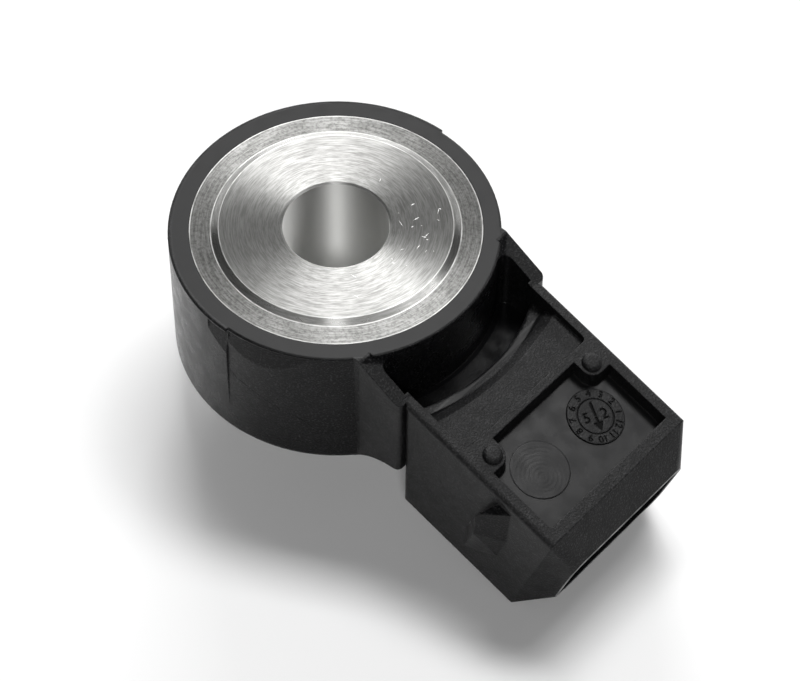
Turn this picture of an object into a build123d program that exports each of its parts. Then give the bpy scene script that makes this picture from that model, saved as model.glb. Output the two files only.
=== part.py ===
from build123d import *
from math import asin, cos, degrees, radians, sin, sqrt, tan
import os

# Ring-shaped engine knock sensor, clamped by one bolt. Millimetres.
# Z is the bolt's axis, Z = 0 the contact face that lies on the engine, +X points to the connector.

# Support sleeve: flange, raised contact face and shank turned from one bar
bore_diameter = 8.4
bore_chamfer = 0.15
contact_diameter = 18.4
contact_foot_diameter = 19.6
contact_rise = 0.3
flange_diameter = 23.0
flange_thickness = 1.8
shank_diameter = 12.0
sleeve_length = 13.4
shank_chamfer = 0.3

# Stack round the shank, from the flange away from the engine
stack_diameter = 20.0
stack_gap = 0.1
shank_gap = 0.3
insulating_wall = 0.4
insulating_gap = 0.05
insulator_thickness = 0.4
contact_thickness = 0.3
piezo_thickness = 2.2
mass_thickness = 3.6
mass_chamfer = 0.4
spring_width = 2.7
spring_thickness = 0.7
spring_rise = 0.35
lock_width = 2.5
lock_thickness = 1.8
lock_chamfer = 0.3
lock_slot_width = 1.6
lock_slot_depth = 0.8
lock_slot_count = 4

# Moulded ring: the half towards the connector is drawn in a little towards the top, from a parting
# line that lies at a different X on the two sides
ring_height = 12.85
ring_back_radius = 13.17
ring_front_radius = 12.94
ring_parting_left_x = -0.5
ring_parting_right_x = 0.6
ring_draft_height = 9.5
ring_top_chamfer = 0.12
ring_foot_fillet = 0.7

# Hollow under the ring's top edge, where a slide of the mould stood a little proud
hollow_angle = -75.0
hollow_half_angle = 18.0
hollow_depth = 0.25
hollow_top_gap = 0.25
hollow_height = 4.0
hollow_overrun = 1.15

# Connector: its top plane starts over the neck and slopes away from the engine
connector_tilt = 16.9
connector_start = 15.0
connector_start_depth = 2.75
connector_width = 16.0
connector_depth = 12.1
connector_length = 14.8
connector_top_fillet = 0.45
connector_foot_fillet = 0.3
connector_back_fillet = 0.45

# Nose: the bevelled end of the connector round its mouth
nose_length = 2.3
nose_top_drop = 2.9
nose_foot_drop = 2.8
nose_side_drop = 1.4
nose_corner = 1.0

# Socket in the nose, with its two flat blades
socket_width = 12.4
socket_height = 5.6
socket_depth = 11.5
socket_corner = 0.9
blade_pitch = 5.0
blade_width = 2.8
blade_thickness = 0.8
blade_setback = 5.1
blade_bend = 0.7
blade_tip_chamfer = 0.25
weld_height = 2.0

# Tab of each contact disc, welded to its blade inside the ring's wall
tab_width = 2.0
tab_reach = 10.95

# Shunt resistor across the two blades
resistor_diameter = 1.4
resistor_length = 1.6
resistor_end_chamfer = 0.25
lead_diameter = 0.5
resistor_x = 12.45

# Neck between ring and connector, with a pocket that follows the ring
neck_width = 17.2
neck_start = 10.1
neck_slope_end = 14.2
neck_end = 14.3
neck_foot_depth = 10.85
neck_arch_rise = 0.1
neck_wall = 1.2
neck_end_fillet = 0.5
pocket_corner_fillet = 0.7
pocket_jog_gap = 0.5
pocket_outer_radius = 15.8
pocket_floor_depth = 7.0
lip_depth = 4.45
lip_width = 0.85
lip_round = 0.3
lip_ramp_width = 2.6
lip_ramp_rise = 1.15

# Top of the connector: a shallow step behind, a moulded recess with two studs in front
step_depth = 0.6
step_end = 5.2
step_corner_fillet = 0.4
rim_width = 0.95
recess_depth = 1.36
recess_back = 5.7
recess_front = 13.72
recess_width = 13.8
stud_back = 6.65
stud_pitch = 11.74
stud_diameter = 1.6
stud_height = 0.4
stud_roundness = 0.95
stud_land = 1.05

# Latch lug on one side of the connector: the corners of its foot on the wall, from the upper rear
# corner round by the mouth, and the two ends of its crest, each as distance along and depth
lug_reach = 1.4
lug_foot = ((9.6, 0.87), (10.9, 0.87), (11.8, 4.7), (11.75, 7.7), (9.1, 10.4), (8.5, 7.9))
lug_crest = ((8.9, 2.1), (9.4, 4.8))
lug_root = 0.15


flange_back = -contact_rise - flange_thickness
ring_top = -contact_rise
ring_foot = ring_top - ring_height
lower_insulator_back = flange_back - insulator_thickness
lower_contact_back = lower_insulator_back - contact_thickness
piezo_back = lower_contact_back - piezo_thickness
upper_contact_back = piezo_back - contact_thickness
upper_insulator_back = upper_contact_back - insulator_thickness
mass_back = upper_insulator_back - mass_thickness
spring_back = mass_back - spring_rise - spring_thickness
lock_back = spring_back - lock_thickness
insulating_outer_radius = shank_diameter / 2 + insulating_wall
live_inner_radius = insulating_outer_radius + insulating_gap
loose_inner_radius = shank_diameter / 2 + shank_gap
spring_outer_radius = loose_inner_radius + spring_width
lock_outer_radius = shank_diameter / 2 + lock_width

tilt = radians(connector_tilt)
along = Vector(cos(tilt), 0, -sin(tilt))
upward = Vector(sin(tilt), 0, cos(tilt))
connector_origin = Vector(connector_start, 0, -connector_start_depth)
nose_end = connector_length + nose_length
nose_height = connector_depth - nose_top_drop - nose_foot_drop
socket_axis_depth = nose_top_drop + nose_height / 2
pocket_half_width = neck_width / 2 - neck_wall
pocket_front_half_width = connector_width / 2 - rim_width
pocket_jog = neck_end - pocket_jog_gap


def connector_point(distance, depth):
    # X and Z of a point in the connector's own directions
    place = connector_origin + along * distance - upward * depth
    return (place.X, place.Z)


def connector_level(depth):
    # Plane parallel to the connector's top, with X along the connector and Y across
    return Plane(origin=connector_origin - upward * depth, x_dir=along, z_dir=upward)


def connector_section(distance, depth):
    # Plane across the connector, looking out of its mouth
    place = connector_origin + along * distance - upward * depth
    return Plane(origin=place, x_dir=(0, 1, 0), z_dir=along)


def connector_corner(distance, y, depth):
    # A point given along the connector, across it and below its top
    return connector_origin + along * distance + Vector(0, y, 0) - upward * depth


def plane_through(first, second, third):
    return Plane(origin=first, z_dir=(second - first).cross(third - first))


def connector_surface(x, depth):
    # Z of the plane at this depth below the connector's top, over the given X
    distance = (x - connector_start + depth * sin(tilt)) / cos(tilt)
    return connector_point(distance, depth)[1]


def disc(top, bottom, outer_radius, inner_radius):
    # Flat ring between two levels, drawn as half of its section and turned about Z
    with BuildSketch(Plane.XZ) as section:
        with Locations(((outer_radius + inner_radius) / 2, (top + bottom) / 2)):
            Rectangle(outer_radius - inner_radius, top - bottom)
    revolve(section.sketch, axis=Axis.Z)


def tab(contact_top, side):
    # Tab that leaves the disc, turns down inside the ring's wall and ends at the weld
    inner = stack_diameter / 2 - tab_width / 2
    plane = Plane(origin=(0, side * blade_pitch / 2, 0), x_dir=(1, 0, 0), z_dir=(0, -1, 0))
    with BuildSketch(plane) as section:
        with BuildLine():
            Polyline(
                (inner, contact_top),
                (tab_reach, contact_top),
                (tab_reach, blade_run_top),
                (tab_reach - contact_thickness, blade_run_top),
                (tab_reach - contact_thickness, contact_top - contact_thickness),
                (inner, contact_top - contact_thickness),
                close=True,
            )
        make_face()
    extrude(section.sketch, amount=tab_width / 2, both=True)


blade_axis_start = connector_point(0, socket_axis_depth)
blade_run_z = blade_axis_start[1]
blade_run_top = blade_run_z + blade_thickness / 2

# Support sleeve
with BuildPart() as support_sleeve:
    with BuildSketch(Plane.XZ):
        with BuildLine():
            Polyline(
                (bore_diameter / 2, 0),
                (contact_diameter / 2, 0),
                (contact_foot_diameter / 2, -contact_rise),
                (flange_diameter / 2, -contact_rise),
                (flange_diameter / 2, flange_back),
                (shank_diameter / 2, flange_back),
                (shank_diameter / 2, -sleeve_length),
                (bore_diameter / 2, -sleeve_length),
                close=True,
            )
        make_face()
    revolve(axis=Axis.Z)
    bore_edges = support_sleeve.edges().filter_by(GeomType.CIRCLE)
    bore_edges = bore_edges.filter_by(lambda edge: abs(edge.radius - bore_diameter / 2) < 0.001)
    chamfer(bore_edges, length=bore_chamfer)
    foot_edges = support_sleeve.edges().filter_by(GeomType.CIRCLE)
    foot_edges = foot_edges.filter_by(lambda edge: abs(edge.radius - shank_diameter / 2) < 0.001)
    chamfer(foot_edges.sort_by(Axis.Z)[0], length=shank_chamfer)
support_sleeve.part.label = "support_sleeve"

# Thin tube that keeps the live rings off the shank
with BuildPart() as insulating_sleeve:
    disc(flange_back, upper_insulator_back, insulating_outer_radius, shank_diameter / 2)
insulating_sleeve.part.label = "insulating_sleeve"

# Insulating washer on the flange
with BuildPart() as lower_insulator:
    disc(flange_back, lower_insulator_back, stack_diameter / 2, live_inner_radius)
lower_insulator.part.label = "lower_insulator"

# Contact disc with its tab, on the engine's side of the piezo ring
with BuildPart() as lower_contact_disc:
    disc(lower_insulator_back, lower_contact_back, stack_diameter / 2, live_inner_radius)
    tab(lower_insulator_back, 1)
lower_contact_disc.part.label = "lower_contact_disc"

# Piezo ceramic ring
with BuildPart() as piezo_ring:
    disc(lower_contact_back, piezo_back, stack_diameter / 2, live_inner_radius)
piezo_ring.part.label = "piezo_ring"

# Contact disc with its tab, on the mass's side of the piezo ring
with BuildPart() as upper_contact_disc:
    disc(piezo_back, upper_contact_back, stack_diameter / 2, live_inner_radius)
    tab(piezo_back, -1)
upper_contact_disc.part.label = "upper_contact_disc"

# Insulating washer under the mass
with BuildPart() as upper_insulator:
    disc(upper_contact_back, upper_insulator_back, stack_diameter / 2, live_inner_radius)
upper_insulator.part.label = "upper_insulator"

# Seismic mass
with BuildPart() as seismic_mass:
    disc(upper_insulator_back, mass_back, stack_diameter / 2, loose_inner_radius)
    mass_edges = seismic_mass.edges().filter_by(GeomType.CIRCLE).group_by(Axis.Z)[0]
    chamfer(mass_edges, length=mass_chamfer)
seismic_mass.part.label = "seismic_mass"

# Disc spring: its rim presses on the mass and its inner edge on the lock ring
with BuildPart() as disc_spring:
    with BuildSketch(Plane.XZ):
        with BuildLine():
            Polyline(
                (spring_outer_radius, mass_back),
                (spring_outer_radius, mass_back - spring_thickness),
                (loose_inner_radius, spring_back),
                (loose_inner_radius, spring_back + spring_thickness),
                close=True,
            )
        make_face()
    revolve(axis=Axis.Z)
disc_spring.part.label = "disc_spring"

# Threaded ring that loads the stack, with slots for its driver
with BuildPart() as lock_ring:
    disc(spring_back, lock_back, lock_outer_radius, shank_diameter / 2)
    lock_edges = lock_ring.edges().filter_by(GeomType.CIRCLE)
    lock_edges = lock_edges.filter_by(lambda edge: abs(edge.radius - lock_outer_radius) < 0.001)
    chamfer(lock_edges, length=lock_chamfer)
    with BuildSketch(Plane.XY.offset(lock_back)):
        with PolarLocations(lock_outer_radius, lock_slot_count, start_angle=45):
            Rectangle(lock_slot_width * 2, lock_slot_width)
    extrude(amount=lock_slot_depth, mode=Mode.SUBTRACT)
lock_ring.part.label = "lock_ring"


def terminal(side):
    # Flat strip: up at the weld, level under the pocket, then down the connector to the blade's tip
    weld_x = tab_reach + blade_thickness / 2
    tip = connector_point(nose_end - blade_setback, socket_axis_depth)
    plane = Plane(origin=(0, side * blade_pitch / 2, 0), x_dir=(1, 0, 0), z_dir=(0, -1, 0))
    with BuildLine(plane) as route:
        FilletPolyline(
            (weld_x, blade_run_z + weld_height),
            (weld_x, blade_run_z),
            blade_axis_start,
            tip,
            radius=blade_bend,
        )
    with BuildSketch(Plane(origin=route.line @ 0, x_dir=(0, 1, 0), z_dir=route.line % 0)) as section:
        Rectangle(blade_width, blade_thickness)
    sweep(section.sketch, path=route.line)


with BuildPart() as terminal_blade_left:
    terminal(1)
    tip_edges = terminal_blade_left.faces().sort_by(Axis.X)[-1].edges().filter_by(Axis.Y)
    chamfer(tip_edges, length=blade_tip_chamfer)
terminal_blade_left.part.label = "terminal_blade_left"

with BuildPart() as terminal_blade_right:
    terminal(-1)
    tip_edges = terminal_blade_right.faces().sort_by(Axis.X)[-1].edges().filter_by(Axis.Y)
    chamfer(tip_edges, length=blade_tip_chamfer)
terminal_blade_right.part.label = "terminal_blade_right"

# Shunt resistor: its leads lie under both blades
resistor_z = blade_run_z - blade_thickness / 2 - lead_diameter / 2
with BuildPart() as shunt_resistor:
    with BuildSketch(Plane(origin=(resistor_x, 0, resistor_z), x_dir=(1, 0, 0), z_dir=(0, 1, 0))):
        Circle(resistor_diameter / 2)
    extrude(amount=resistor_length / 2, both=True)
    chamfer(shunt_resistor.edges().filter_by(GeomType.CIRCLE), length=resistor_end_chamfer)
    with BuildSketch(Plane(origin=(resistor_x, 0, resistor_z), x_dir=(1, 0, 0), z_dir=(0, 1, 0))):
        Circle(lead_diameter / 2)
    extrude(amount=blade_pitch / 2, both=True)
shunt_resistor.part.label = "shunt_resistor"

# Small dome beside the recess
with BuildPart() as stud:
    with BuildSketch(Plane.XY.offset(-recess_depth / 2)):
        Circle(stud_diameter / 2)
    extrude(amount=recess_depth / 2 + stud_height)
    fillet(stud.edges().sort_by(Axis.Z)[-1], radius=stud_height * stud_roundness)

# Latch lug on the side towards -Y: a block cut by a plane for each of its faces
side_y = -connector_width / 2
foot_1, foot_2, foot_3, foot_4, foot_5, foot_6 = (connector_corner(s, side_y, h) for s, h in lug_foot)
crest_1, crest_2 = (connector_corner(s, side_y - lug_reach, h) for s, h in lug_crest)
lug_faces = (
    (foot_1, crest_1, foot_2),
    (foot_2, crest_2, foot_3),
    (foot_3, crest_2, foot_4),
    (foot_4, crest_2, foot_5),
    (foot_5, crest_1, foot_6),
    (foot_6, crest_1, foot_1),
)
with BuildPart() as lug:
    with BuildSketch(Plane.XZ.offset(-side_y - lug_root)):
        with Locations(connector_point(connector_length / 2, connector_depth / 2)):
            Rectangle(connector_length, connector_length)
    extrude(amount=lug_reach + lug_root)
    for first, second, third in lug_faces:
        split(bisect_by=plane_through(first, second, third), keep=Keep.BOTTOM)

# Neck between ring and connector: sloping top, arched foot, rounded ends
ring_edge_x = sqrt(ring_front_radius**2 - (neck_width / 2) ** 2)
slope_foot = (neck_slope_end, connector_surface(neck_slope_end, 0))
arch_end = (ring_edge_x, ring_foot + neck_arch_rise)
with BuildPart() as neck_body:
    with BuildSketch(Plane.XZ):
        with BuildLine():
            Polyline(
                arch_end,
                (0, ring_foot + neck_arch_rise),
                (0, ring_top),
                (neck_start, ring_top),
                slope_foot,
                (neck_end, connector_surface(neck_end, 0)),
                (neck_end, -neck_foot_depth),
            )
            TangentArc((neck_end, -neck_foot_depth), arch_end, tangent=(-1, 0))
        make_face()
    extrude(amount=neck_width / 2, both=True)
    fillet(neck_body.edges().filter_by(Axis.Z).group_by(Axis.X)[-1], radius=neck_end_fillet)

# Connector body: flat behind, square to its own direction in front, and drawn in to the mouth
with BuildPart() as connector_body:
    with BuildSketch(connector_section(connector_length, connector_depth / 2)) as section:
        Rectangle(connector_width, connector_depth)
        fillet(section.vertices().group_by(Axis.Y)[-1], radius=connector_top_fillet)
        fillet(section.vertices().group_by(Axis.Y)[0], radius=connector_foot_fillet)
    extrude(amount=-2 * connector_length)
    with BuildSketch(Plane.XY.offset(-2 * connector_length)):
        with Locations((neck_end + connector_length, 0)):
            RectangleRounded(2 * connector_length, connector_width, connector_back_fillet)
    extrude(amount=2 * connector_length, mode=Mode.INTERSECT)
    front_face = connector_body.faces().sort_by(Axis((0, 0, 0), along))[-1]
    with BuildSketch(connector_section(nose_end, socket_axis_depth)) as mouth:
        RectangleRounded(connector_width - 2 * nose_side_drop, nose_height, nose_corner)
    loft(sections=[front_face, mouth.sketch.faces()[0]], ruled=True)

# What the mould leaves open behind the recess, a little below the rims
with BuildPart() as step_space:
    with BuildSketch(Plane.XY.offset(-connector_depth)):
        step_front = connector_point(step_end, step_depth)[0]
        with Locations(((neck_end + step_front) / 2, 0)):
            Rectangle(step_front - neck_end, connector_width - 2 * rim_width)
    extrude(amount=connector_depth)
    fillet(step_space.edges().filter_by(Axis.Z).group_by(Axis.X)[-1], radius=step_corner_fillet)
    split(bisect_by=connector_level(step_depth), keep=Keep.TOP)

# What the draft takes off the ring's half towards the connector
with BuildPart() as front_draft:
    with BuildSketch(Plane.XZ):
        with BuildLine():
            Polyline(
                (ring_front_radius - ring_top_chamfer, ring_top),
                (ring_front_radius, ring_top - ring_top_chamfer),
                (ring_back_radius, ring_top - ring_draft_height),
                (2 * ring_back_radius, ring_top - ring_draft_height),
                (2 * ring_back_radius, ring_top),
                close=True,
            )
        make_face()
    revolve(axis=Axis.Z)
    with BuildSketch(Plane.XY.offset(ring_foot)):
        with BuildLine():
            Polyline(
                (ring_parting_left_x, ring_back_radius),
                (ring_parting_left_x, 2 * ring_back_radius),
                (2 * ring_back_radius, 2 * ring_back_radius),
                (2 * ring_back_radius, -2 * ring_back_radius),
                (ring_parting_right_x, -2 * ring_back_radius),
                (ring_parting_right_x, -ring_back_radius),
                close=True,
            )
        make_face()
    extrude(amount=ring_height, mode=Mode.INTERSECT)

# Hollow in the ring's side: deepest under the top edge, and run out below and at both ends
with BuildPart() as side_hollow:
    half_chord = ring_front_radius * sin(radians(hollow_half_angle))
    chord_bow = ring_front_radius * (1 - cos(radians(hollow_half_angle)))
    hollow_bow = chord_bow - hollow_depth
    hollow_radius = (half_chord**2 + hollow_bow**2) / (2 * hollow_bow)
    hollow_centre = ring_front_radius - hollow_depth - hollow_radius
    hollow_spread = degrees(asin(half_chord / hollow_radius)) * hollow_overrun
    outward = Vector(1, 0, 0).rotate(Axis.Z, hollow_angle)
    start_side = Vector(1, 0, 0).rotate(Axis.Z, hollow_angle - hollow_spread)
    centre = outward * hollow_centre
    with BuildSketch(Plane(origin=centre, x_dir=start_side, z_dir=start_side.cross(Vector(0, 0, 1)))):
        with BuildLine():
            Polyline(
                (hollow_radius, ring_top - hollow_top_gap),
                (hollow_radius + 3 * hollow_depth, ring_top - hollow_top_gap),
                (hollow_radius + 3 * hollow_depth, ring_top - hollow_height),
                (hollow_radius + 2 * hollow_depth, ring_top - hollow_height),
                close=True,
            )
        make_face()
    revolve(axis=Axis(centre, (0, 0, 1)), revolution_arc=2 * hollow_spread)

# Pocket between ring and connector: its outer wall ends in a rounded lip, then a ramp leads up
with BuildPart() as pocket_space:
    with BuildSketch(Plane.XZ):
        lip_end = pocket_outer_radius + lip_width
        with BuildLine():
            wall_foot = (pocket_outer_radius, -pocket_floor_depth)
            outer_wall = Line(wall_foot, (pocket_outer_radius, -lip_depth - lip_round))
            lip_bend = JernArc(start=outer_wall @ 1, tangent=(0, 1), radius=lip_round, arc_size=-90)
            Polyline(
                lip_bend @ 1,
                (lip_end, -lip_depth),
                (lip_end + lip_ramp_width, -lip_depth + lip_ramp_rise),
                (lip_end + lip_ramp_width, 0),
                (ring_front_radius, 0),
                (ring_front_radius, -pocket_floor_depth),
                wall_foot,
            )
        make_face()
    revolve(axis=Axis.Z)
    with BuildSketch(Plane.XY.offset(-pocket_floor_depth)):
        with BuildLine():
            Polyline(
                (0, -pocket_half_width),
                (pocket_jog, -pocket_half_width),
                (pocket_jog, -pocket_front_half_width),
                (lip_end + lip_ramp_width, -pocket_front_half_width),
                (lip_end + lip_ramp_width, pocket_front_half_width),
                (pocket_jog, pocket_front_half_width),
                (pocket_jog, pocket_half_width),
                (0, pocket_half_width),
                close=True,
            )
        make_face()
    extrude(amount=pocket_floor_depth, mode=Mode.INTERSECT)
    fillet(pocket_space.edges().filter_by(Axis.Z).group_by(Axis.X)[0], radius=pocket_corner_fillet)

# Housing, moulded round the sleeve, the stack and the blades in one shot
with BuildPart() as housing:
    # Ring
    with BuildSketch(Plane.XY.offset(ring_foot)):
        Circle(ring_back_radius)
    extrude(amount=ring_height)
    fillet(housing.edges().filter_by(GeomType.CIRCLE).sort_by(Axis.Z)[0], radius=ring_foot_fillet)
    chamfer(housing.edges().filter_by(GeomType.CIRCLE).sort_by(Axis.Z)[-1], length=ring_top_chamfer)
    add(front_draft.part, mode=Mode.SUBTRACT)
    add(side_hollow.part, mode=Mode.SUBTRACT)

    # Neck
    add(neck_body.part)

    # The slope of the neck's two side walls runs on into the ring's top
    with BuildSketch(Plane.XZ.offset(pocket_half_width), Plane.XZ.offset(-neck_width / 2)):
        with BuildLine():
            Polyline(
                (neck_start, ring_top),
                slope_foot,
                (neck_slope_end, ring_top),
                close=True,
            )
        make_face()
    extrude(amount=neck_wall, mode=Mode.SUBTRACT)

    # Connector
    add(connector_body.part)

    # Pocket, and the step behind the recess
    add(pocket_space.part, mode=Mode.SUBTRACT)
    add(step_space.part, mode=Mode.SUBTRACT)

    # Recess in the connector's top, drawn along Z like the whole upper side
    with BuildSketch(connector_level(recess_depth)):
        shift = recess_depth * tan(tilt)
        with Locations(((recess_back + recess_front) / 2 + shift, 0)):
            Rectangle(recess_front - recess_back, recess_width)
        with Locations((stud_back + shift, stud_pitch / 2), (stud_back + shift, -stud_pitch / 2)):
            Circle(stud_land, mode=Mode.SUBTRACT)
            Rectangle(2 * stud_land, 2 * stud_land, align=(Align.MAX, Align.CENTER), mode=Mode.SUBTRACT)
        with Locations((stud_back + shift, recess_width / 2), (stud_back + shift, -recess_width / 2)):
            Rectangle(2 * stud_land, recess_width - stud_pitch, mode=Mode.SUBTRACT)
    extrude(amount=recess_depth * 2, dir=(0, 0, 1), mode=Mode.SUBTRACT)
    for side in (1, -1):
        place = connector_origin + along * stud_back + Vector(0, side * stud_pitch / 2, 0)
        with Locations(Plane(origin=place, x_dir=along, z_dir=upward)):
            add(stud.part)

    # Socket
    with BuildSketch(connector_section(nose_end, socket_axis_depth)):
        RectangleRounded(socket_width, socket_height, socket_corner)
    extrude(amount=-socket_depth, mode=Mode.SUBTRACT)

    # Lug
    add(lug.part)

    # Room for the sleeve and the stack
    with BuildSketch(Plane.XZ):
        with BuildLine():
            Polyline(
                (0, ring_top),
                (flange_diameter / 2, ring_top),
                (flange_diameter / 2, flange_back),
                (stack_diameter / 2 + stack_gap, flange_back),
                (stack_diameter / 2 + stack_gap, mass_back),
                (spring_outer_radius + stack_gap, mass_back),
                (spring_outer_radius + stack_gap, spring_back),
                (lock_outer_radius + stack_gap, spring_back),
                (lock_outer_radius + stack_gap, lock_back),
                (shank_diameter / 2, lock_back),
                (shank_diameter / 2, ring_foot),
                (0, ring_foot),
                close=True,
            )
        make_face()
    revolve(axis=Axis.Z, mode=Mode.SUBTRACT)

    # Seats of what the moulding holds
    add(lower_contact_disc.part, mode=Mode.SUBTRACT)
    add(upper_contact_disc.part, mode=Mode.SUBTRACT)
    add(terminal_blade_left.part, mode=Mode.SUBTRACT)
    add(terminal_blade_right.part, mode=Mode.SUBTRACT)
    add(shunt_resistor.part, mode=Mode.SUBTRACT)
housing.part.label = "housing"

pieces = [
    housing,
    support_sleeve,
    insulating_sleeve,
    lower_insulator,
    lower_contact_disc,
    piezo_ring,
    upper_contact_disc,
    upper_insulator,
    seismic_mass,
    disc_spring,
    lock_ring,
    terminal_blade_left,
    terminal_blade_right,
    shunt_resistor,
]
os.makedirs("parts", exist_ok=True)
for piece in pieces:
    export_step(piece.part, f"parts/{piece.part.label}.step")
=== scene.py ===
import bmesh
import bpy
import numpy as np
from functools import partial
from math import cos, pi, radians, sin
from mathutils import Matrix, Vector


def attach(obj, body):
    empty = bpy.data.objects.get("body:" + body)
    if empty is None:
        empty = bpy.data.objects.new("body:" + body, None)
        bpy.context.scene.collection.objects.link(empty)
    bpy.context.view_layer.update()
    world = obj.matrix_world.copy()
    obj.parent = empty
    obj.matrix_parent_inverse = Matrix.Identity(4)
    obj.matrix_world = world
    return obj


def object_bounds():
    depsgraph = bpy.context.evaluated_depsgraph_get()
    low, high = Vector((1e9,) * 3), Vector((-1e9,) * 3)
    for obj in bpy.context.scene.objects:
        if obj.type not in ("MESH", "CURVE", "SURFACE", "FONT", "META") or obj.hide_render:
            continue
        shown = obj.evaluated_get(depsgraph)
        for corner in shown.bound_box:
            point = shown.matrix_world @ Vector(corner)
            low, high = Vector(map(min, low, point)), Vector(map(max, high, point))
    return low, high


# Engine knock sensor: a moulded black ring round a turned steel sleeve, with an inclined connector.
# Metres, in the frame of the CAD model: Z is the bolt's axis, Z = 0 the contact face, +X the connector.
# The dictionaries give lengths in millimetres and angles in degrees, but the lamps, the floor and the
# camera have their lengths in metres.

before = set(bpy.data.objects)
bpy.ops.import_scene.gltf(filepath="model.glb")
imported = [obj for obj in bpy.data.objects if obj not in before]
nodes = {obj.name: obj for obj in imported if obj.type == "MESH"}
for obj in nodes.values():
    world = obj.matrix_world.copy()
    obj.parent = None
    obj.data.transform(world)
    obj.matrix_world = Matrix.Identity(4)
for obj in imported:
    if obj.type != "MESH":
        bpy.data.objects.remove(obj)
cadBox = [list(corner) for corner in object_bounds()]
scene = bpy.context.scene
scene.view_settings.view_transform = "Standard"
mm = 0.001
print("frame loaded:", len(nodes), "nodes")


def linear(hexColour):
    # sRGB hex to linear: the standard curve, a power of 2.4 above a short straight foot
    value = hexColour.lstrip("#")
    parts = [int(value[i:i + 2], 16) / 255 for i in (0, 2, 4)]
    return tuple(c / 12.92 if c <= 0.04045 else ((c + 0.055) / 1.055) ** 2.4 for c in parts) + (1.0,)


def addNode(material, kind, inputs=(), **properties):
    # One node with its properties and inputs. The inputs come in order, or by name or number; a node or
    # a socket is linked, and anything else is set
    tree = material.node_tree
    node = tree.nodes.new("ShaderNode" + kind)
    for key, value in properties.items():
        setattr(node, key, value)
    for key, value in inputs.items() if isinstance(inputs, dict) else enumerate(inputs):
        if isinstance(value, bpy.types.Node):
            value = value.outputs[0]
        if isinstance(value, bpy.types.NodeSocket):
            tree.links.new(value, node.inputs[key])
        else:
            node.inputs[key].default_value = value
    return node


def newMaterial(name):
    material = bpy.data.materials.new(name)
    material.use_nodes = True
    material.node_tree.nodes.clear()
    return material


def finishMaterial(material, shader):
    addNode(material, "OutputMaterial", (shader,), is_active_output=True)
    return material


def maskWithin(add, *limits):
    # 0 before the first limit of any value, 1 past the second limit of every value, and smooth between
    mask = 1.0
    for value, start, full in limits:
        step = add("MapRange", (value, start * mm, full * mm), interpolation_type="SMOOTHSTEP")
        mask = add("Math", (step, mask), operation="MULTIPLY")
    return mask


# The connector's own directions: along it, out of its top, and where its top starts
connector = {"tilt": 16.9, "start": (15.0, 0.0, -2.75), "recessDepth": 1.36}
tilt = radians(connector["tilt"])
alongConnector = Vector((cos(tilt), 0, -sin(tilt)))
outOfConnector = Vector((sin(tilt), 0, cos(tilt)))
connectorStart = Vector(connector["start"]) * mm


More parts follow.
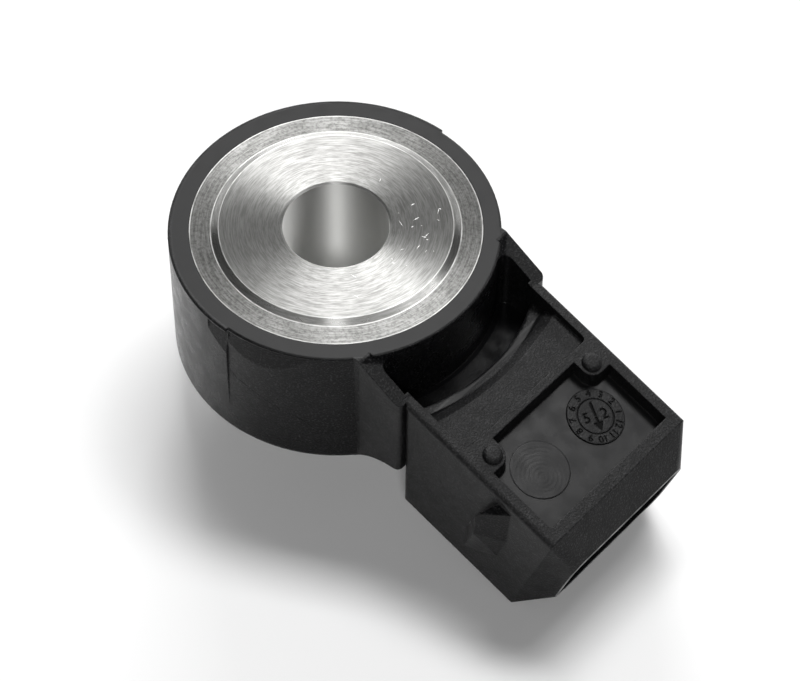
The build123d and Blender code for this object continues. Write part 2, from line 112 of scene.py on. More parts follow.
def mouldedPolyamide():
    # Glass-filled nylon (PA66), injection moulded. Most of the mould was spark-eroded, which leaves a
    # sparkling grain; the ring's top and the recess's floor were ground, so they are plain and silky.
    look = {
        "colour": "#0c0c0d",
        "speckColour": "#2c2c2d",
        # A grey specular tint on the ring's wall, the nose and the lug paints shade into their reflection
        "shadeTint": "#505050",
        "ior": 1.5,
        "specular": 0.27,
        "roughness": 0.52,
        "groundRoughness": -0.1,
        "uprightRoughness": -0.12,
        "ringWallRoughness": -0.1,
        "pocketRoughness": -0.24,
        "cloudPitch": 1.5,
        "cloudRoughness": (0.3, 0.7, -0.05, 0.05),
        "speckCrests": (0.52, 0.68),
        "uprightNormal": (0.6, 0.3),
        "grainPitch": 0.15,
        "grainHeight": 0.06,
        "uprightGrainHeight": 0.022,
        "groundGrainHeight": 0.004,
        "edgeRadius": 0.16,
    }
    # Where each finish starts and where it is full. The looks above with several numbers are ranges of a
    # noise or of the normal's height, some of them followed by the range of the result
    limits = {
        "ringTopLevel": (-0.40, -0.33),
        "ringTopRadius": (13.0, 12.8),
        "recessFloorGap": (0.16, 0.06),
        "pocketTopLevel": (-6.0, -6.2),
        "pocketFootLevel": (-7.3, -7.2),
        "pocketRadius": (15.9, 15.75),
        "pocketSide": (7.6, 7.5),
        "ringWallRadius": (13.45, 13.3),
        "ringWallLevel": (-0.35, -0.45),
        "noseStart": (14.7, 14.9),
        "lugFace": (-8.02, -8.06),
        "lugStart": (7.8, 8.0),
    }
    material = newMaterial("moulded polyamide")
    add = partial(addNode, material)
    place = add("TexCoord").outputs["Object"]
    x, y, z = add("SeparateXYZ", (place,)).outputs
    radius = add("VectorMath", (add("CombineXYZ", (x, y)),), operation="LENGTH").outputs["Value"]
    side = add("Math", (y,), operation="ABSOLUTE")
    fromStart = add("VectorMath", (place, connectorStart), operation="SUBTRACT")
    height = add("VectorMath", (fromStart, outOfConnector), operation="DOT_PRODUCT").outputs["Value"]
    along = add("VectorMath", (fromStart, alongConnector), operation="DOT_PRODUCT").outputs["Value"]
    # The upright walls were drawn out of the mould, which leaves them with a finer grain
    facing = add("SeparateXYZ", (add("NewGeometry").outputs["Normal"],)).outputs["Z"]
    flatness = add("Math", (facing,), operation="ABSOLUTE")
    upright = add("MapRange", (flatness, *look["uprightNormal"]), interpolation_type="SMOOTHSTEP")
    notUpright = add("Math", (1.0, upright), operation="SUBTRACT")
    # Ground surfaces: the ring's top out to its edge, and the floor of the recess
    onRingTop = maskWithin(add, (z, *limits["ringTopLevel"]), (radius, *limits["ringTopRadius"]))
    overFloor = add("Math", (height, connector["recessDepth"] * mm), operation="ADD")
    floorGap = add("Math", (overFloor,), operation="ABSOLUTE")
    onFloor = maskWithin(add, (floorGap, *limits["recessFloorGap"]))
    ground = add("Math", (onRingTop, onFloor), operation="MAXIMUM")
    ground = add("Math", (ground, notUpright), operation="MULTIPLY")
    # The core that made the pocket was polished, so its floor only mirrors the dark wall behind it
    inPocket = maskWithin(
        add,
        (z, *limits["pocketTopLevel"]),
        (z, *limits["pocketFootLevel"]),
        (radius, *limits["pocketRadius"]),
        (side, *limits["pocketSide"]),
    )
    inPocket = add("Math", (inPocket, notUpright), operation="MULTIPLY")
    ground = add("Math", (ground, inPocket), operation="MAXIMUM")
    grained = add("Math", (1.0, ground), operation="SUBTRACT")
    # The ring's wall, the nose and the lug get a grey specular tint, which is painted shade: seen square on
    # they mirror less and read darker
    onRingWall = maskWithin(add, (radius, *limits["ringWallRadius"]), (z, *limits["ringWallLevel"]))
    onNose = maskWithin(add, (along, *limits["noseStart"]))
    onLug = maskWithin(add, (y, *limits["lugFace"]), (along, *limits["lugStart"]))
    paintedShadeFaces = add("Math", (onRingWall, onNose), operation="MAXIMUM")
    paintedShadeFaces = add("Math", (paintedShadeFaces, onLug), operation="MAXIMUM")
    white = linear("#ffffff")
    shadeTintMix = add("Mix", {0: paintedShadeFaces, 6: white, 7: linear(look["shadeTint"])}, data_type="RGBA")
    # Grain: its height is that of the upright, the ground or the other faces
    grain = add("TexNoise", {"Vector": place, "Scale": 1 / (look["grainPitch"] * mm), "Detail": 2.0,
                             "Roughness": 0.6})
    change = (look["uprightGrainHeight"] - look["grainHeight"]) * mm
    grainHeight = add("Math", (upright, change, look["grainHeight"] * mm), operation="MULTIPLY_ADD")
    grainHeight = add("Math", (grainHeight, grained), operation="MULTIPLY")
    groundHeight = look["groundGrainHeight"] * mm
    grainHeight = add("Math", (ground, groundHeight, grainHeight), operation="MULTIPLY_ADD")
    lift = add("Math", (grain, grainHeight), operation="MULTIPLY")
    edge = add("Bevel", {"Radius": look["edgeRadius"] * mm}, samples=4)
    bump = add("Bump", {"Strength": 1.0, "Distance": 1.0, "Height": lift, "Normal": edge})
    # Cut glass fibres and burnt crests show as pale specks where the surface is grained
    crests = add("MapRange", (grain, *look["speckCrests"]), interpolation_type="SMOOTHSTEP")
    specks = add("Math", (crests, grained), operation="MULTIPLY")
    black, speck = linear(look["colour"]), linear(look["speckColour"])
    colour = add("Mix", {0: specks, 6: black, 7: speck}, data_type="RGBA")
    # The look gives each finish's roughness as a change from the plain one
    roughness = look["roughness"]
    for mask, change in (
        (ground, look["groundRoughness"]),
        (upright, look["uprightRoughness"]),
        (onRingWall, look["ringWallRoughness"]),
        (inPocket, look["pocketRoughness"]),
    ):
        roughness = add("Math", (mask, change, roughness), operation="MULTIPLY_ADD")
    cloud = add("TexNoise", {"Vector": place, "Scale": 1 / (look["cloudPitch"] * mm), "Detail": 3.0})
    drift = add("MapRange", (cloud, *look["cloudRoughness"]), interpolation_type="SMOOTHSTEP")
    roughness = add("Math", (roughness, drift), operation="ADD")
    shader = add("BsdfPrincipled", {
        "Base Color": colour.outputs[2],
        "IOR": look["ior"],
        "Specular IOR Level": look["specular"],
        "Specular Tint": shadeTintMix.outputs[2],
        "Roughness": roughness,
        "Normal": bump,
    })
    return finishMaterial(material, shader)


def turnedSteel():
    # Free-cutting steel turned on a lathe: fine rings round the bolt's axis, which spread each light
    # into a fan. The flange outside the contact face was left as cold formed, grey and pitted.
    look = {
        "colour": "#a3a3a1",
        "dullColour": "#6f6f6d",
        "edgeColour": "#e9e9e7",
        # The bore's pale colour is painted light
        "boreLightColour": "#efefed",
        "roughness": 0.42,
        "flangeRoughness": 0.08,
        "boreRoughness": 0.26,
        "coneRoughness": -0.15,
        "ringRoughness": 0.06,
        "scratchRoughness": -0.12,
        "edgeRoughness": 0.2,
        "anisotropic": 0.95,
        "quarterTurn": 0.25,
        "ringPitch": 0.11,
        "ringCurl": 5.0,
        "ringHeight": 0.0016,
        "ringCrests": (0.3, 0.7),
        "ringShade": (0.35, 0.65, 0.0, 0.6),
        "pitPitch": 0.28,
        "pitHeight": 0.012,
        "pitShade": (0.4, 0.7, 0.0, 0.6),
        "stainPitch": 1.6,
        "stainShade": (0.35, 0.7, 0.0, 0.15),
        "scratchLength": 2.5,
        "scratchWidth": 0.07,
        "scratchCells": (0.74, 0.78),
        "scratchTurns": ((0.35, 0.0), (1.2, 3.1), (2.3, 7.7)),  # radians round Z, and an offset
        "edges": ((9.2, 0.04), (9.82, 0.05), (11.47, 0.06)),  # radius, and half the line's width
        "edgeWear": (0.3, 0.55, 0.3, 0.9),
        "edgeRadius": 0.06,
    }
    # Where each finish starts and where it is full
    limits = {
        "flangeRadius": (9.8, 9.85),
        "flangeLevel": (-0.22, -0.28),
        "boreRadius": (4.32, 4.26),
        "boreLevel": (-0.1, -0.2),
        "coneInside": (9.18, 9.23),
        "coneOutside": (9.82, 9.77),
    }
    material = newMaterial("turned steel")
    add = partial(addNode, material)
    place = add("TexCoord").outputs["Object"]
    x, y, z = add("SeparateXYZ", (place,)).outputs
    radius = add("VectorMath", (add("CombineXYZ", (x, y)),), operation="LENGTH").outputs["Value"]
    onFlange = maskWithin(add, (radius, *limits["flangeRadius"]), (z, *limits["flangeLevel"]))
    inBore = maskWithin(add, (radius, *limits["boreRadius"]), (z, *limits["boreLevel"]))
    onCone = maskWithin(add, (radius, *limits["coneInside"]), (radius, *limits["coneOutside"]))
    # Rings: noise that changes fast with radius and height and slowly round the axis
    across = add("Math", (radius, z), operation="ADD")
    across = add("Math", (across, 1 / (look["ringPitch"] * mm)), operation="MULTIPLY")
    around = [add("Math", (part, radius), operation="DIVIDE") for part in (x, y)]
    curl = [add("Math", (part, look["ringCurl"]), operation="MULTIPLY") for part in around]
    ringPlace = add("CombineXYZ", (across, *curl))
    rings = add("TexNoise", {"Vector": ringPlace, "Scale": 1.0, "Detail": 3.0, "Roughness": 0.7})
    pits = add("TexNoise", {"Vector": place, "Scale": 1 / (look["pitPitch"] * mm), "Detail": 4.0,
                            "Roughness": 0.65})
    # The rings are half as high on the flange, and the pits are there alone
    ringHeight = look["ringHeight"] * mm
    ringHeight = add("Math", (onFlange, -0.5 * ringHeight, ringHeight), operation="MULTIPLY_ADD")
    ringLift = add("Math", (rings, ringHeight), operation="MULTIPLY")
    pitHeight = add("Math", (onFlange, look["pitHeight"] * mm), operation="MULTIPLY")
    lift = add("Math", (pits, pitHeight, ringLift), operation="MULTIPLY_ADD")
    edge = add("Bevel", {"Radius": look["edgeRadius"] * mm}, samples=4)
    bump = add("Bump", {"Strength": 1.0, "Distance": 1.0, "Height": lift, "Normal": edge})
    # Scratches: long thin cells in three directions, only the rare bright ones kept
    scratches = 0.0
    scratchScale = (1 / look["scratchLength"], 1 / look["scratchWidth"], 1)
    for turn, offset in look["scratchTurns"]:
        turned = add("Mapping", {"Vector": place, "Location": (offset * mm, 0, 0),
                                 "Rotation": (0, 0, turn), "Scale": scratchScale})
        cells = add("TexNoise", {"Vector": turned, "Scale": 1 / mm, "Detail": 1.0})
        lines = add("MapRange", (cells, *look["scratchCells"]), interpolation_type="SMOOTHSTEP")
        scratches = add("Math", (lines, scratches), operation="MAXIMUM")
    # Burnished edges: the face's rim, the foot of its cone and the flange's own rim. Each line fades out
    # from half of its half width to half as much again
    edges = 0.0
    for edgeRadius, halfWidth in look["edges"]:
        gap = add("Math", (radius, edgeRadius * mm), operation="SUBTRACT")
        gap = add("Math", (gap,), operation="ABSOLUTE")
        line = maskWithin(add, (gap, 1.5 * halfWidth, 0.5 * halfWidth))
        edges = add("Math", (line, edges), operation="MAXIMUM")
    stain = add("TexNoise", {"Vector": place, "Scale": 1 / (look["stainPitch"] * mm), "Detail": 4.0})
    wear = add("MapRange", (stain, *look["edgeWear"]), interpolation_type="SMOOTHSTEP")
    edges = add("Math", (edges, wear), operation="MULTIPLY")
    # Colour: dull on the rings' crests, in stains and on the flange's pitted skin, and pale on the burnished
    # edges. The pale colour in the bore is painted light, which brightens the bore
    ringShade = add("MapRange", (rings, *look["ringShade"]), interpolation_type="SMOOTHSTEP")
    stainShade = add("MapRange", (stain, *look["stainShade"]), interpolation_type="SMOOTHSTEP")
    pitShade = add("MapRange", (pits, *look["pitShade"]), interpolation_type="SMOOTHSTEP")
    shade = add("Math", (ringShade, stainShade), operation="ADD")
    shade = add("Math", (onFlange, pitShade, shade), operation="MULTIPLY_ADD")
    bright, dull = linear(look["colour"]), linear(look["dullColour"])
    colour = add("Mix", {0: shade, 6: bright, 7: dull}, data_type="RGBA").outputs[2]
    for mask, key in ((inBore, "boreLightColour"), (edges, "edgeColour")):
        colour = add("Mix", {0: mask, 6: colour, 7: linear(look[key])}, data_type="RGBA").outputs[2]
    ringCrests = add("MapRange", (rings, *look["ringCrests"]), interpolation_type="SMOOTHSTEP")
    # The look gives each finish's roughness as a change from the face's own
    roughness = look["roughness"]
    for mask, change in (
        (onFlange, look["flangeRoughness"]),
        (inBore, look["boreRoughness"]),
        (onCone, look["coneRoughness"]),
        (ringCrests, look["ringRoughness"]),
        (scratches, look["scratchRoughness"]),
        (edges, look["edgeRoughness"]),
    ):
        roughness = add("Math", (mask, change, roughness), operation="MULTIPLY_ADD")
    shader = add("BsdfPrincipled", {
        "Base Color": colour,
        "Metallic": 1.0,
        "Roughness": roughness,
        "Anisotropic": look["anisotropic"],
        "Anisotropic Rotation": look["quarterTurn"],
        "Normal": bump,
        "Tangent": add("Tangent", direction_type="RADIAL", axis="Z"),
    })
    return finishMaterial(material, shader)


plain = {"driftRange": (0.35, 0.65), "grainRange": (0.3, 0.7), "roughnessSpread": 0.04}


def plainFinish(name, look):
    # One colour that drifts a little to another, with a fine grain at its real size
    material = newMaterial(name)
    add = partial(addNode, material)
    place = add("TexCoord").outputs["Object"]
    drift = add("TexNoise", {"Vector": place, "Scale": 1 / (look["driftPitch"] * mm), "Detail": 3.0})
    grain = add("TexNoise", {"Vector": place, "Scale": 1 / (look["grainPitch"] * mm), "Detail": 2.0})
    share = add("MapRange", (drift, *plain["driftRange"]), interpolation_type="SMOOTHSTEP")
    first, second = (linear(colour) for colour in look["colours"])
    colour = add("Mix", {0: share, 6: first, 7: second}, data_type="RGBA").outputs[2]
    smoothest, roughest = (look["roughness"] + sign * plain["roughnessSpread"] for sign in (-1, 1))
    roughness = add("MapRange", (grain, *plain["grainRange"], smoothest, roughest),
                    interpolation_type="SMOOTHSTEP")
    shader = add("BsdfPrincipled", {
        "Base Color": colour,
        "Metallic": look["metallic"],
        "Roughness": roughness,
        "IOR": look["ior"],
        "Normal": add("Bump", {"Strength": 1.0, "Distance": look["grainHeight"] * mm, "Height": grain}),
    })
    return finishMaterial(material, shader)


def dress(material, *names):
    for name in names:
        mesh = nodes[name].data
        mesh.materials.clear()
        mesh.materials.append(material)


polyamide = mouldedPolyamide()
dress(polyamide, "housing")
dress(turnedSteel(), "support_sleeve")

# Polyimide film, stamped: amber and smooth
polyimide = {"colours": ("#b5752a", "#a4631f"), "driftPitch": 4.0, "grainPitch": 0.15, "grainHeight": 0.001,
             "metallic": 0.0, "ior": 1.7, "roughness": 0.32}
dress(plainFinish("polyimide film", polyimide), "insulating_sleeve", "lower_insulator", "upper_insulator")

# Brass strip, rolled and stamped: warm yellow with faint darker clouds
brass = {"colours": ("#d3b06a", "#bd9850"), "driftPitch": 3.0, "grainPitch": 0.1, "grainHeight": 0.0015,
         "metallic": 1.0, "ior": 1.5, "roughness": 0.28}
dress(plainFinish("rolled brass", brass), "lower_contact_disc", "upper_contact_disc")

# Lead zirconate titanate, pressed and sintered: dull cream with a fine gritty surface
piezo = {"colours": ("#c9bfa4", "#b8ac8e"), "driftPitch": 2.0, "grainPitch": 0.12, "grainHeight": 0.003,
         "metallic": 0.0, "ior": 1.9, "roughness": 0.6}
dress(plainFinish("sintered piezo ceramic", piezo), "piezo_ring")

# Steel, turned and zinc plated: pale bluish grey
zincPlated = {"colours": ("#b4b8bc", "#a3a7ab"), "driftPitch": 2.5, "grainPitch": 0.1, "grainHeight": 0.002,
              "metallic": 1.0, "ior": 1.5, "roughness": 0.36}
dress(plainFinish("zinc plated steel", zincPlated), "seismic_mass", "lock_ring")

# Spring steel, hardened and blackened with oil: dark brown grey
springSteel = {"colours": ("#4a4642", "#3b3835"), "driftPitch": 2.0, "grainPitch": 0.1, "grainHeight": 0.002,
               "metallic": 1.0, "ior": 1.5, "roughness": 0.38}
dress(plainFinish("oiled spring steel", springSteel), "disc_spring")

# Tin over bronze, stamped: pale grey and silky
tinned = {"colours": ("#c4c3bc", "#b0aea5"), "driftPitch": 1.5, "grainPitch": 0.08, "grainHeight": 0.001,
          "metallic": 1.0, "ior": 1.5, "roughness": 0.26}
dress(plainFinish("tinned bronze", tinned), "terminal_blade_left", "terminal_blade_right")

# Lacquer over a ceramic rod: beige, glossy
lacquer = {"colours": ("#bfa77f", "#b39a70"), "driftPitch": 1.0, "grainPitch": 0.1, "grainHeight": 0.001,
           "metallic": 0.0, "ior": 1.5, "roughness": 0.3}
dress(plainFinish("lacquered resistor", lacquer), "shunt_resistor")
print("materials made")


def addPiece(name, mesh, material):
    mesh.materials.clear()
    mesh.materials.append(material)
    piece = bpy.data.objects.new(name, mesh)
    scene.collection.objects.link(piece)
    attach(piece, "root")


def onRecessFloor(distance, side, lift=0.0):
    # Turns a drawing in X and Y to lie on the recess floor, with X along the connector and Y across it
    centre = connectorStart + (alongConnector * distance + Vector((0, side, 0))) * mm
    centre = centre + outOfConnector * (lift - connector["recessDepth"]) * mm
    turn = Matrix((alongConnector, Vector((0, 1, 0)), outOfConnector)).transposed().to_4x4()
    return Matrix.Translation(centre) @ turn


def textOutline(words, size):
    # Outline of Blender's own plain letters, centred on the origin: points with their two handles
    text = bpy.data.curves.new("letters", "FONT")
    text.body = words
    text.size = size
    text.align_x = "CENTER"
    text.align_y = "CENTER"
    holder = bpy.data.objects.new("letters", text)
    scene.collection.objects.link(holder)
    outline = holder.to_curve(bpy.context.evaluated_depsgraph_get())
    kept = []
    for spline in outline.splines:
        points = spline.bezier_points
        kept.append([(p.co.copy(), p.handle_left.copy(), p.handle_right.copy()) for p in points])
    holder.to_curve_clear()
    bpy.data.objects.remove(holder)
    return kept


def circleOutline(radius):
    # Four Bezier quarters, with handles at 0.5523 of the radius
    reach = 0.5523 * radius
    points = []
    for angle in (0, pi / 2, pi, 3 * pi / 2):
        outward = Vector((cos(angle), sin(angle), 0)) * radius
        sideways = Vector((-sin(angle), cos(angle), 0)) * reach
        points.append((outward, outward - sideways, outward + sideways))
    return [points]


def polygonOutline(corners):
    points = [Vector((x, y, 0)) for x, y in corners]
    return [[(p, p, p) for p in points]]


def addOutline(curve, outline, place):
    for points in outline:
        spline = curve.splines.new("BEZIER")
        spline.bezier_points.add(len(points) - 1)
        spline.use_cyclic_u = True
        for point, (middle, left, right) in zip(spline.bezier_points, points):
            point.handle_left_type = point.handle_right_type = "FREE"
            point.co, point.handle_left, point.handle_right = place @ middle, place @ left, place @ right


def cutPlate(name, outlines, thickness, place):
    # Flat plate between nested outlines: what lies inside an odd number of them is solid
    curve = bpy.data.curves.new(name, "CURVE")
    curve.dimensions = "2D"
    curve.fill_mode = "BOTH"
    curve.extrude = thickness / 2
    curve.resolution_u = 12  # straight pieces for each Bezier piece
    for outline, turn in outlines:
        addOutline(curve, outline, turn)
    holder = bpy.data.objects.new(name, curve)
    scene.collection.objects.link(holder)
    mesh = bpy.data.meshes.new_from_object(holder.evaluated_get(bpy.context.evaluated_depsgraph_get()))
    bpy.data.objects.remove(holder)
    mesh.transform(place)
    return mesh


# Date dial: a round insert of the mould with plain numbers, and an arrow on its core
dial = {
    "place": (9.78, 3.41),
    "outerRadius": 2.33,
    "innerRadius": 1.52,
    "coreRadius": 1.44,
    "numberRadius": 1.92,
    "numberSize": 0.8,
    "numbers": 12,
    "firstAngle": 60,
    "digits": (("2", 0.78), ("5", -0.78)),
    "digitSize": 1.25,
    "lift": 0.12,
    "sunk": 0.03,
    "shadeOverhang": 0.06,
    "shadeLift": 0.008,
}
arrow = {"angle": -25, "halfShaft": 0.1, "head": 0.4, "tail": -1.2, "neck": 0.5, "tip": 1.3, "gap": 0.04}

flat = Matrix.Identity(4)
numberOutlines = [(circleOutline(dial[key] * mm), flat) for key in ("outerRadius", "innerRadius")]
for count in range(dial["numbers"]):
    angle = radians(dial["firstAngle"] + count * 360 / dial["numbers"])
    centre = Matrix.Translation(Vector((cos(angle), sin(angle), 0)) * dial["numberRadius"] * mm)
    upright = Matrix.Rotation(angle - pi / 2, 4, "Z")
    numberOutlines.append((textOutline(str(count + 1), dial["numberSize"] * mm), centre @ upright))
plateThickness = (dial["lift"] + dial["sunk"]) * mm
platePlace = onRecessFloor(*dial["place"], lift=(dial["lift"] - dial["sunk"]) / 2)
dialRing = cutPlate("dial ring", numberOutlines, plateThickness, platePlace)
addPiece("dial_ring", dialRing, polyamide)

# Under the plates lies a dark sheet of painted shade: it stands in for the shade at the bottom of deep cuts,
# so that the cut numbers and the arrow read dark
cutShadePaint = {"colours": ("#050505", "#070707"), "driftPitch": 1.0, "grainPitch": 0.1, "grainHeight": 0.001,
             "metallic": 0.0, "ior": 1.3, "roughness": 0.85}
shadeSheetOutline = circleOutline((dial["outerRadius"] + dial["shadeOverhang"]) * mm)
shadeSheetPlace = onRecessFloor(*dial["place"], lift=dial["shadeLift"] - dial["sunk"] / 2)
dialShadeSheet = cutPlate("dial shade sheet", [(shadeSheetOutline, flat)], dial["sunk"] * mm, shadeSheetPlace)
addPiece("dial_shade_sheet", dialShadeSheet, plainFinish("painted shade in deep cuts", cutShadePaint))

# The arrow is cut in two halves, with a thin bridge left at the dial's centre
gap, half, neck = arrow["gap"], arrow["halfShaft"], arrow["neck"]
tailCorners = [(arrow["tail"], -half), (-gap, -half), (-gap, half), (arrow["tail"], half)]
headCorners = [(gap, -half), (neck, -half), (neck, -arrow["head"]), (arrow["tip"], 0),
               (neck, arrow["head"]), (neck, half), (gap, half)]
pointing = Matrix.Rotation(radians(arrow["angle"]), 4, "Z")
coreOutlines = [(circleOutline(dial["coreRadius"] * mm), flat)]
for corners in (tailCorners, headCorners):
    coreOutlines.append((polygonOutline([(x * mm, y * mm) for x, y in corners]), pointing))
for digit, offset in dial["digits"]:
    middle = pointing @ Matrix.Translation((0, offset * mm, 0)) @ Matrix.Rotation(pi / 2, 4, "Z")
    coreOutlines.append((textOutline(digit, dial["digitSize"] * mm), middle))
dialCore = cutPlate("dial core", coreOutlines, plateThickness, platePlace)
addPiece("dial_core", dialCore, polyamide)
print("date dial made")


def joinedMesh(name, points, quads):
    # Points that fall together are merged, so that poles and tips close
    mesh = bpy.data.meshes.new(name)
    mesh.from_pydata(points.reshape(-1, 3).tolist(), [], quads.tolist())
    shape = bmesh.new()
    shape.from_mesh(mesh)
    bmesh.ops.remove_doubles(shape, verts=shape.verts, dist=0.0001 * mm)
    for face in shape.faces:
        face.smooth = True
    shape.to_mesh(mesh)
    shape.free()
    return mesh


def gridMesh(name, points, closedAround):
    # Mesh from a grid of points (rows by columns by 3): each cell is a quad, rows may close on themselves
    rows, columns = points.shape[:2]
    index = np.arange(rows * columns).reshape(rows, columns)
    following = np.roll(index, -1, axis=1) if closedAround else index[:, 1:]
    here = index if closedAround else index[:, :-1]
    quads = np.stack([here[:-1], following[:-1], following[1:], here[1:]], axis=-1).reshape(-1, 4)
    return joinedMesh(name, points, quads)


# Bare insert beside the dial: a round face a little proud of the floor, with faint cutter rings
insert = {
    "place": (9.81, -3.26),
    "radius": 2.42,
    "lift": 0.05,
    "sunk": 0.03,
    "edge": 0.03,
    "swirl": 0.002,
    "swirlPitch": 0.35,
    "swirlCentre": (0.5, -0.3),
    "swirlMargin": 0.15,
    "swirlFade": 0.3,
    "rings": 40,
    "edgeRings": 5,
    "spokes": 96,
}


def insertMesh():
    # Height is a function of radius and angle: flat, with rings of the swirl's height round a centre set
    # off to one side, then a small round edge and a wall down into the floor. The angles run backwards,
    # which turns the faces outwards
    flatRadius = insert["radius"] - insert["edge"]
    flatRadii = np.linspace(0, flatRadius, insert["rings"])
    edgeTurn = np.linspace(0, pi / 2, insert["edgeRings"])[1:]
    radii = np.concatenate([flatRadii, flatRadius + insert["edge"] * np.sin(edgeTurn), [insert["radius"]]])
    edgeDrop = insert["edge"] * (1 - np.cos(edgeTurn))
    drop = np.concatenate([0 * flatRadii, edgeDrop, [insert["lift"] + insert["sunk"]]])
    angles = -np.linspace(0, 2 * pi, insert["spokes"], endpoint=False)
    radiusGrid, angleGrid = np.meshgrid(radii, angles, indexing="ij")
    x, y = radiusGrid * np.cos(angleGrid), radiusGrid * np.sin(angleGrid)
    centreX, centreY = insert["swirlCentre"]
    fromCentre = np.hypot(x - centreX, y - centreY)
    swirl = insert["swirl"] * np.sin(2 * pi * fromCentre / insert["swirlPitch"])
    fade = np.clip((insert["radius"] - insert["swirlMargin"] - radiusGrid) / insert["swirlFade"], 0, 1)
    z = insert["lift"] - drop[:, None] + swirl * fade
    return gridMesh("bare insert", np.stack([x, y, z], axis=-1) * mm, True)


bareInsert = insertMesh()
bareInsert.transform(onRecessFloor(*insert["place"]))
addPiece("bare_insert", bareInsert, polyamide)
print("bare insert made")

# Witness lines: fine ridges where the mould's slides met, on the ring's side. The path gives the angle
# round the bolt's axis and the height
witness = {
    "path": ((-87.2, -0.9), (-87.0, -3.2), (-87.0, -5.2), (-84.5, -5.75), (-77.2, -6.4), (-66.9, -7.6),
             (-60.2, -8.2), (-54.4, -9.4), (-45.0, -9.45)),
    "width": 0.1,
    "height": 0.028,
    "sunk": 0.02,
    "steps": 120,
    "sectionPoints": 7,
}
# The radius turns angles into lengths along the wall
ringWall = {"radius": 13.0, "topRadius": 12.94, "footRadius": 13.17, "topLevel": -0.42, "draftHeight": 9.38}


def ringRadiusAt(level):
    # The ring's half towards the connector is drawn in: its radius grows evenly from the top down
    share = np.clip((ringWall["topLevel"] - level) / ringWall["draftHeight"], 0, 1)
    return ringWall["topRadius"] + (ringWall["footRadius"] - ringWall["topRadius"]) * share


def witnessMesh():
    # A half-round ridge carried along a path on the cylinder: angle and height are interpolated along
    # the path, and the ridge's section stands out from the cylinder
    corners = np.array(witness["path"])
    runs = np.diff(corners * (ringWall["radius"] * pi / 180, 1), axis=0)
    along = np.concatenate([[0], np.cumsum(np.hypot(*runs.T))])
    steps = np.linspace(0, along[-1], witness["steps"])
    arc = ringWall["radius"] * np.radians(np.interp(steps, along, corners[:, 0]))
    level = np.interp(steps, along, corners[:, 1])
    direction = np.stack([np.gradient(arc), np.gradient(level)], axis=1)
    direction /= np.linalg.norm(direction, axis=1, keepdims=True)
    section = np.linspace(0, pi, witness["sectionPoints"])
    offset = np.cos(section) * witness["width"] / 2
    stand = np.sin(section) * witness["height"] - witness["sunk"]
    bearing = (arc[:, None] - direction[:, 1:] * offset) / ringWall["radius"]
    levelGrid = level[:, None] + direction[:, :1] * offset
    surface = ringRadiusAt(levelGrid) + stand
    points = np.stack([surface * np.cos(bearing), surface * np.sin(bearing), levelGrid], axis=-1)
    return gridMesh("witness line", points * mm, False)


addPiece("witness_line", witnessMesh(), polyamide)
print("witness lines made")

# Nicks in the steel's face: the thin burrs that handling raised, mostly on its right side
nicks = {
    "count": 26,
    "seed": 7,
    "bearing": 41,
    "spread": 0.7,  # radians
    "nearest": 5.0,
    "furthest": 8.6,
    "shortest": 0.15,
    "longest": 0.8,
    "lengthPower": 1.5,
    "width": 0.05,
    "height": 0.012,
    "sunk": 0.001,
    "rows": 9,
    "columns": 5,
}


def nickMesh():
    # Each burr is a lens: its width and height follow a half sine along its length, and all stand on Z = 0
    random = np.random.default_rng(nicks["seed"])
    count, rows, columns = nicks["count"], nicks["rows"], nicks["columns"]
    bearing = radians(nicks["bearing"]) + random.normal(0, nicks["spread"], count)
    distance = random.uniform(nicks["nearest"], nicks["furthest"], count)
    length = random.uniform(nicks["shortest"], nicks["longest"], count) ** nicks["lengthPower"]
    turn = random.uniform(0, pi, count)
    centreX, centreY = distance * np.cos(bearing), distance * np.sin(bearing)
    centreX, centreY, length, turn = (each[:, None, None] for each in (centreX, centreY, length, turn))
    along = np.linspace(-0.5, 0.5, rows)[None, :, None]
    across = np.linspace(-1, 1, columns)
    swell = np.cos(pi * along)
    u = length * along + 0 * across
    v = nicks["width"] / 2 * swell * across + 0 * u
    x = centreX + np.cos(turn) * u - np.sin(turn) * v
    y = centreY + np.sin(turn) * u + np.cos(turn) * v
    z = nicks["height"] * swell * (1 - across ** 2) + 0 * x - nicks["sunk"]
    index = np.arange(count * rows * columns).reshape(count, rows, columns)
    quads = np.stack([index[:, :-1, :-1], index[:, 1:, :-1], index[:, 1:, 1:], index[:, :-1, 1:]], axis=-1)
    return joinedMesh("nicks", np.stack([x, y, z], axis=-1) * mm, quads.reshape(-1, 4))


# Steel pushed up into burrs: brighter and rougher than the turned face
burred = {"colours": ("#f2f2f0", "#dededc"), "driftPitch": 1.0, "grainPitch": 0.05, "grainHeight": 0.001,
          "metallic": 1.0, "ior": 1.5, "roughness": 0.5}
addPiece("face_nicks", nickMesh(), plainFinish("burred steel", burred))
print("nicks made")

# Mouth rim: the small rounded edge round the connector's open end
mouth = {"end": 17.1, "depth": 6.1, "width": 13.2, "height": 6.4, "corner": 1.0, "bead": 0.07, "inset": 0.03,
         "cornerPoints": 9, "beadPoints": 10}


def onConnector(along, side, height):
    # Points in metres from grids of the distance along the connector, across it and out of its top
    forward, outward, sideways = np.array(alongConnector), np.array(outOfConnector), np.array((0, 1, 0))
    place = along[..., None] * forward + side[..., None] * sideways + height[..., None] * outward
    return np.array(connectorStart) + place * mm


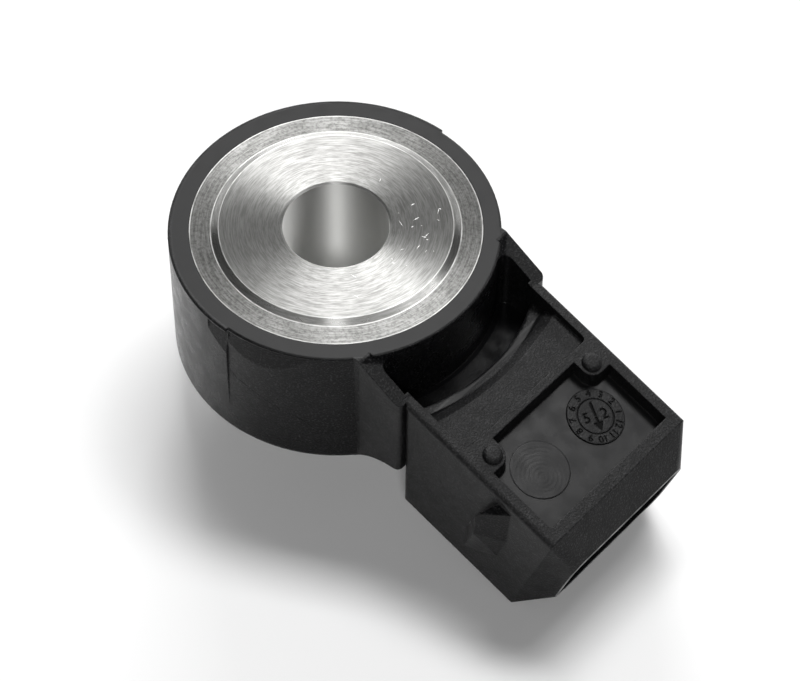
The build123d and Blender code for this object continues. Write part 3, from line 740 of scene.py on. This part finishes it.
def mouthRimMesh():
    # A rounded rectangle in the mouth's plane, and a small circle carried round it. The circle runs
    # backwards, which turns the faces outwards
    straight = [mouth[key] / 2 - mouth["inset"] - mouth["corner"] for key in ("width", "height")]
    quarterTurn = np.linspace(0, pi / 2, mouth["cornerPoints"])
    angle = np.concatenate([quarterTurn + quarter * pi / 2 for quarter in range(4)])
    outward = np.stack([np.cos(angle), np.sin(angle)], axis=1)
    signs = np.repeat([(1, 1), (-1, 1), (-1, -1), (1, -1)], mouth["cornerPoints"], axis=0)
    path = signs * straight + mouth["corner"] * outward
    path, outward = (np.concatenate([each, each[:1]]) for each in (path, outward))
    section = -np.linspace(0, 2 * pi, mouth["beadPoints"], endpoint=False)
    ring = path[:, None, :] + outward[:, None, :] * (mouth["bead"] * np.cos(section))[None, :, None]
    along = mouth["end"] - mouth["inset"] + mouth["bead"] * np.sin(section) + 0 * ring[..., 0]
    points = onConnector(along, ring[..., 0], ring[..., 1] - mouth["depth"])
    return gridMesh("mouth rim", points, True)


# Thin flash on a moulded edge, painted pale grey: a painted highlight along the edge
edgeHighlightPaint = {"colours": ("#9a9a9a", "#5a5a5a"), "driftPitch": 1.5, "grainPitch": 0.08, "grainHeight": 0.001,
          "metallic": 0.0, "ior": 1.5, "roughness": 0.4}
paintedEdgeHighlight = plainFinish("moulding edge with painted highlight", edgeHighlightPaint)
addPiece("mouth_rim", mouthRimMesh(), paintedEdgeHighlight)

# Flash at the lug's rear foot, as (distance along, height) on the connector's side wall
flash = {
    "path": ((8.5, -6.3), (8.62, -7.4), (8.8, -8.6), (9.15, -10.2)),
    "wall": -8.0,
    "width": 0.24,
    "height": 0.07,
    "sunk": 0.01,
    "steps": 25,
    "sectionPoints": 7,
}


def flashMesh():
    # A lens section carried along the path: width and height follow a half sine from end to end
    corners = np.array(flash["path"])
    steps = np.linspace(0, 1, flash["steps"])
    knots = np.linspace(0, 1, len(corners))
    path = np.stack([np.interp(steps, knots, corners[:, axis]) for axis in (0, 1)], axis=1)
    direction = np.gradient(path, axis=0)
    direction /= np.linalg.norm(direction, axis=1, keepdims=True)
    across = np.linspace(1, -1, flash["sectionPoints"])
    swell = np.sin(pi * steps)[:, None]
    sideways = flash["width"] / 2 * swell * across
    along = path[:, :1] - direction[:, 1:] * sideways
    height = path[:, 1:] + direction[:, :1] * sideways
    side = flash["wall"] + flash["sunk"] - flash["height"] * swell * (1 - across ** 2)
    return gridMesh("lug flash", onConnector(along, side, height), False)


# The flash at the lug's rear foot takes the same pale grey, also a painted highlight
addPiece("lug_flash", flashMesh(), paintedEdgeHighlight)
print("mouth rim and flash made")

# Floor: matte white paper, a hair under the object. It takes a soft shadow and has no gloss
paper = {"half": 1.2, "gap": 0.0002, "colour": "#fbfbfb"}
floorLevel = cadBox[0][2] - paper["gap"]
floorSigns = ((-1, -1), (1, -1), (1, 1), (-1, 1))
floorCorners = [(x * paper["half"], y * paper["half"], floorLevel) for x, y in floorSigns]
floorMesh = bpy.data.meshes.new("floor")
floorMesh.from_pydata(floorCorners, [], [(0, 1, 2, 3)])
floorPaper = newMaterial("matte paper")
finishMaterial(floorPaper, addNode(floorPaper, "BsdfDiffuse", {"Color": linear(paper["colour"])}))
floorMesh.materials.append(floorPaper)
floor = bpy.data.objects.new("floor", floorMesh)
scene.collection.objects.link(floor)

# As the camera sees it: the main box hangs behind and over the object, so its shadow falls to the front.
# A low box stands behind it, small ones hang over its right side and the lens, and a pale panel closes
# the back
lamps = {
    "mainBox": {"azimuth": 119, "elevation": 68, "distance": 0.5, "size": (0.24, 0.12), "radiance": 16.0},
    "lowBox": {"azimuth": 133, "elevation": 26, "distance": 0.5, "size": (0.2, 0.1), "radiance": 15.0},
    "rightBox": {"azimuth": 76, "elevation": 62, "distance": 0.5, "size": (0.12, 0.12), "radiance": 12.0},
    "lensBox": {"azimuth": -48, "elevation": 47, "distance": 0.5, "size": (0.1, 0.1), "radiance": 20.0},
    "backPanel": {"azimuth": 131, "elevation": 16, "distance": 0.7, "size": (1.7, 0.44), "radiance": 1.4},
}
worldStrength = 0.06
world = bpy.data.worlds.new("studio")
scene.world = world
world.use_nodes = True
world.node_tree.nodes["Background"].inputs["Color"].default_value = (1, 1, 1, 1)
world.node_tree.nodes["Background"].inputs["Strength"].default_value = worldStrength


def directionTo(azimuth, elevation):
    return Vector((cos(elevation) * cos(azimuth), cos(elevation) * sin(azimuth), sin(elevation)))


for name, look in lamps.items():
    # A rectangular lamp turned to the origin: its power is radiance times pi times its area
    lamp = bpy.data.lights.new(name, "AREA")
    lamp.shape = "RECTANGLE"
    lamp.size, lamp.size_y = look["size"]
    lamp.energy = look["radiance"] * pi * lamp.size * lamp.size_y
    box = bpy.data.objects.new(name, lamp)
    box.location = directionTo(radians(look["azimuth"]), radians(look["elevation"])) * look["distance"]
    box.rotation_euler = (-box.location).to_track_quat("-Z", "Y").to_euler()
    scene.collection.objects.link(box)
print("floor and lamps set")

# Camera: its distance is in metres; the focal length and the origin's place are in pixels of the image
view = {
    "azimuth": -48.87,
    "elevation": 53.0,
    "roll": 0.798,
    "distance": 0.2342,
    "focalPixels": 3000,
    "originPixel": (336.103, 224.279),
    "image": (800, 681),
    "sensorWidth": 36,
    "clip": (0.01, 10),
}
azimuth, elevation, roll = (radians(view[key]) for key in ("azimuth", "elevation", "roll"))
away = directionTo(azimuth, elevation)
levelRight = Vector((-sin(azimuth), cos(azimuth), 0))
levelUp = away.cross(levelRight)
right = cos(roll) * levelRight + sin(roll) * levelUp
upward = cos(roll) * levelUp - sin(roll) * levelRight
metresPerPixel = view["distance"] / view["focalPixels"]
shiftRight = (view["originPixel"][0] - view["image"][0] / 2) * metresPerPixel
shiftDown = (view["originPixel"][1] - view["image"][1] / 2) * metresPerPixel
cameraData = bpy.data.cameras.new("camera")
cameraData.sensor_width = view["sensorWidth"]
cameraData.lens = view["focalPixels"] * view["sensorWidth"] / view["image"][0]
cameraData.clip_start, cameraData.clip_end = view["clip"]
camera = bpy.data.objects.new("camera", cameraData)
scene.collection.objects.link(camera)
turn = Matrix((right, upward, away)).transposed().to_4x4()
cameraPlace = away * view["distance"] - right * shiftRight + upward * shiftDown
camera.matrix_world = Matrix.Translation(cameraPlace) @ turn
scene.camera = camera
print("camera set")
